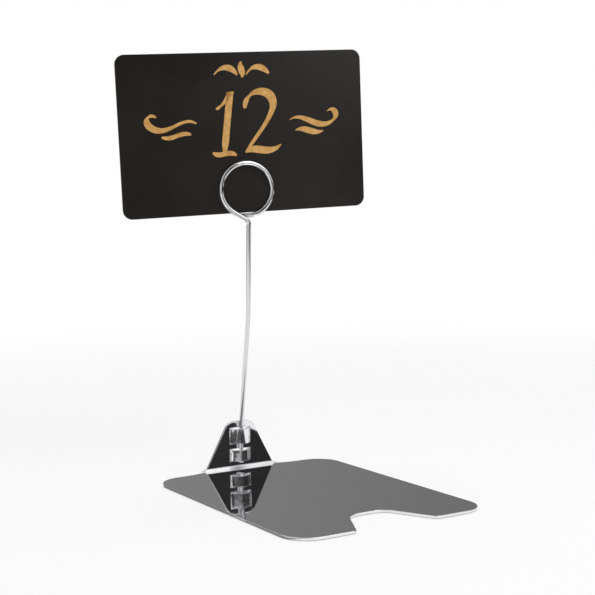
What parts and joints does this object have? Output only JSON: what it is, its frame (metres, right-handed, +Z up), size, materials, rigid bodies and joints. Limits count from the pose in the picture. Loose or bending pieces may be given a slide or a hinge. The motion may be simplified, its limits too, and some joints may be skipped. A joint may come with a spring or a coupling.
{
  "type": "table card holder",
  "caption": "Free-standing card holder: a polished flat base with a bent-up tab, and a wire stem turning in the tab's loops whose ring clip grips an upright card.",
  "frame": {"origin": "middle of the plate's underside, on the table", "axes": "+Z up, +Y from the notched front edge to the tab at the back, +X to the right as seen from the front"},
  "size_m": [0.0861, 0.0968, 0.1463],
  "materials": {
    "polished_sheet": "mirror-polished stainless sheet with brighter sheared edges",
    "bright_wire": "bright drawn wire",
    "card_black": "smooth satin black plastic card",
    "gold_print": "gold ink, slightly metallic"
  },
  "bodies": {
    "base": {"base_plate": "polished_sheet"},
    "stem": {"wire_clip": "bright_wire"},
    "card": {"table_card": "card_black"}
  },
  "joints": [
    {"name": "stem_swivel", "type": "hinge", "parent": "base", "child": "stem", "pos_m": [0, 0.04724, 0.00848], "axis": [0, -0.0227, 0.9997], "range_deg": [-90, 90]},
    {"name": "card_lift", "type": "slide", "parent": "stem", "child": "card", "axis": [-0.0558, -0.0479, 0.9973], "range_m": [0, 0.025]}
  ]
}
